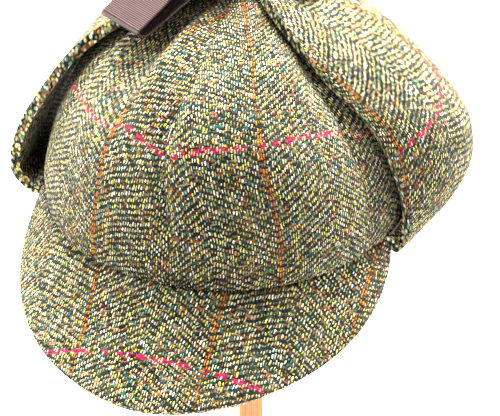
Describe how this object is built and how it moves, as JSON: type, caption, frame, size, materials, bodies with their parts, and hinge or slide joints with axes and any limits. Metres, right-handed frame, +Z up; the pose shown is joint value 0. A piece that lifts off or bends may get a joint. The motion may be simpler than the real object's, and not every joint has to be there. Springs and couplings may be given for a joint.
{
  "type": "deerstalker hat on a plain wooden stand",
  "caption": "Tweed deerstalker with front and back peaks and ear flaps tied up with a ribbon bow, on a plain wooden stand.",
  "frame": {"origin": "middle of the underside of the stand's foot", "axes": "+Z up, the hat faces -Y, +X towards the wearer's left"},
  "size_m": [0.2064, 0.2908, 0.3497],
  "materials": {
    "tweed": "herringbone wool tweed with crimson and orange overchecks",
    "ribbon": "brown grosgrain, ribbed across its width",
    "wood": "sanded pine, satin"
  },
  "bodies": {
    "root": {"crown_panel_front_left": "tweed", "crown_panel_side_left": "tweed", "crown_panel_back_left": "tweed", "crown_panel_back_right": "tweed", "crown_panel_side_right": "tweed", "crown_panel_front_right": "tweed", "peak_front": "tweed", "peak_back": "tweed", "ear_flap_left": "tweed", "ear_flap_right": "tweed", "bow_knot": "ribbon", "bow_loop_front": "ribbon", "bow_loop_back": "ribbon", "bow_tail_left": "ribbon", "bow_tail_right": "ribbon", "ribbon_tie_left": "ribbon", "ribbon_tie_right": "ribbon", "stand_foot": "wood", "stand_post": "wood", "stand_head": "wood"}
  },
  "joints": []
}
